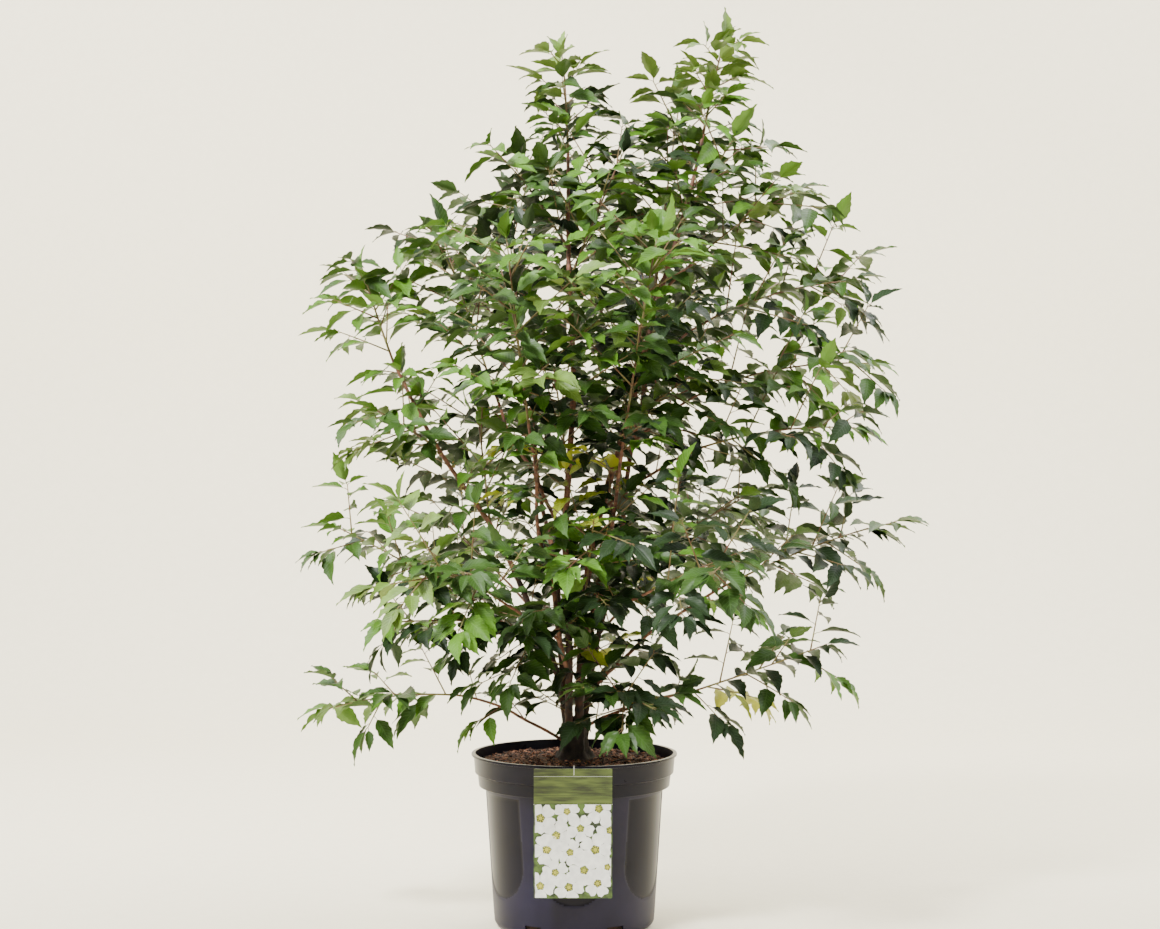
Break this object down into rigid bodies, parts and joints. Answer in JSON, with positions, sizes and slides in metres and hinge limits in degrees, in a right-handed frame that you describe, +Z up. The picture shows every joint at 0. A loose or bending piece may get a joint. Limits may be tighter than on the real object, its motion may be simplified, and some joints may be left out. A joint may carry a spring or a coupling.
{
  "type": "potted flowering cherry shrub",
  "caption": "Several-stemmed flowering cherry shrub in summer leaf, in a round ribbed nursery pot of bark mix with a picture label on its front.",
  "frame": {"origin": "middle of the pot's flat underside", "axes": "+Z up along the pot's axis, -Y towards the label and the viewer, +X to the viewer's right"},
  "size_m": [1.0214, 0.8513, 1.4762],
  "materials": {
    "pot_plastic": "navy-black, half gloss",
    "bark_mix": "rough bark chips, red-brown",
    "label_card": "printed stiff plastic card, satin",
    "old_bark": "dark grey-brown bark",
    "young_bark": "smooth red-brown bark with pale lenticels",
    "leaves": "half-gloss green leaves"
  },
  "bodies": {
    "root": {"bough_foot_left": "young_bark", "bough_foot_right": "young_bark", "bough_low_back_left": "young_bark", "bough_low_back_right": "young_bark", "bough_low_front_left": "young_bark", "bough_low_front_right": "young_bark", "bough_low_left": "young_bark", "bough_low_right": "young_bark", "bough_right_lower": "young_bark", "bough_right_middle": "young_bark", "bough_right_under": "young_bark", "bough_right_upper": "young_bark", "leaves_back_left_top": "leaves", "leaves_back_right_top": "leaves", "leaves_centre_back": "leaves", "leaves_centre_front": "leaves", "leaves_centre_high": "leaves", "leaves_centre_right": "leaves", "leaves_foot_front": "leaves", "leaves_foot_left": "leaves", "leaves_foot_right": "leaves", "leaves_front_left_top": "leaves", "leaves_front_low": "leaves", "leaves_front_right_top": "leaves", "leaves_left_high": "leaves", "leaves_left_inner": "leaves", "leaves_left_low_inner": "leaves", "leaves_left_middle": "leaves", "leaves_left_shoulder": "leaves", "leaves_left_top": "leaves", "leaves_left_under": "leaves", "leaves_low_back_left": "leaves", "leaves_low_back_right": "leaves", "leaves_low_front_left": "leaves", "leaves_low_front_right": "leaves", "leaves_low_left": "leaves", "leaves_low_right": "leaves", "leaves_middle_top": "leaves", "leaves_right_high": "leaves", "leaves_right_inner": "leaves", "leaves_right_lower": "leaves", "leaves_right_middle": "leaves", "leaves_right_top": "leaves", "leaves_right_under": "leaves", "leaves_right_upper": "leaves", "leaves_upper_left": "leaves", "picture_label": "label_card", "pot": "pot_plastic", "potting_mix": "bark_mix", "root_crown": "old_bark", "stem_back_left": "young_bark", "stem_back_right": "young_bark", "stem_front_left": "young_bark", "stem_front_right": "young_bark", "stem_left": "young_bark", "stem_left_leader": "young_bark", "stem_middle": "young_bark", "stem_right_leader": "young_bark", "stem_upper_left": "young_bark"}
  },
  "joints": []
}
